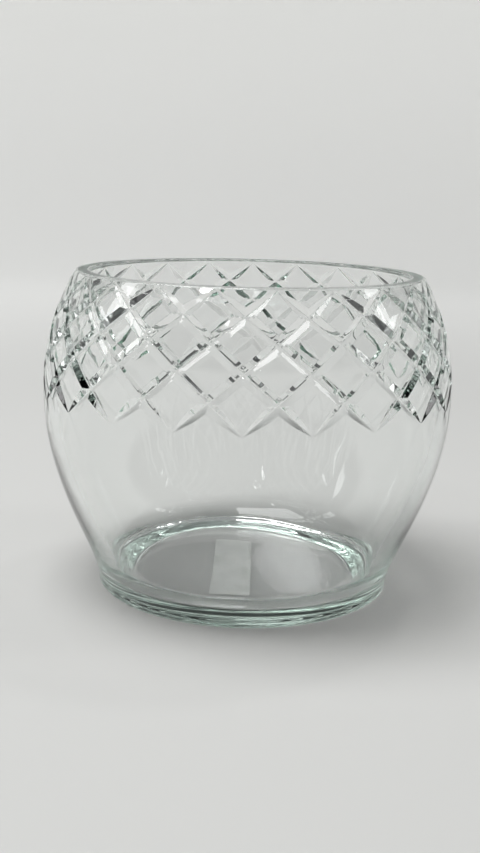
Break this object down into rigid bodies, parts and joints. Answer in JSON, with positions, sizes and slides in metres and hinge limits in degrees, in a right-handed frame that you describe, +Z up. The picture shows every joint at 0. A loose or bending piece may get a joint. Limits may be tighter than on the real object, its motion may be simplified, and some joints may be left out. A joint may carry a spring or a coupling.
{
  "type": "crystal cachepot",
  "caption": "Round clear cut-glass cachepot, wide at the belly, with a diamond belt of mitre cuts under a flat ground rim.",
  "frame": {"origin": "middle of the ring that the pot stands on", "axes": "+Z up the pot's own axis; -Y is the side seen in the picture"},
  "size_m": [0.124, 0.124, 0.0962],
  "materials": {
    "clear_crystal": "polished clear crystal, faintly grey-green where it is thick; mitre cuts acid-polished, rim ground flat",
    "label_paper": "blank matt paper sticker, glued to the underside"
  },
  "bodies": {
    "root": {"glass_body": "clear_crystal", "base_label": "label_paper"}
  },
  "joints": []
}
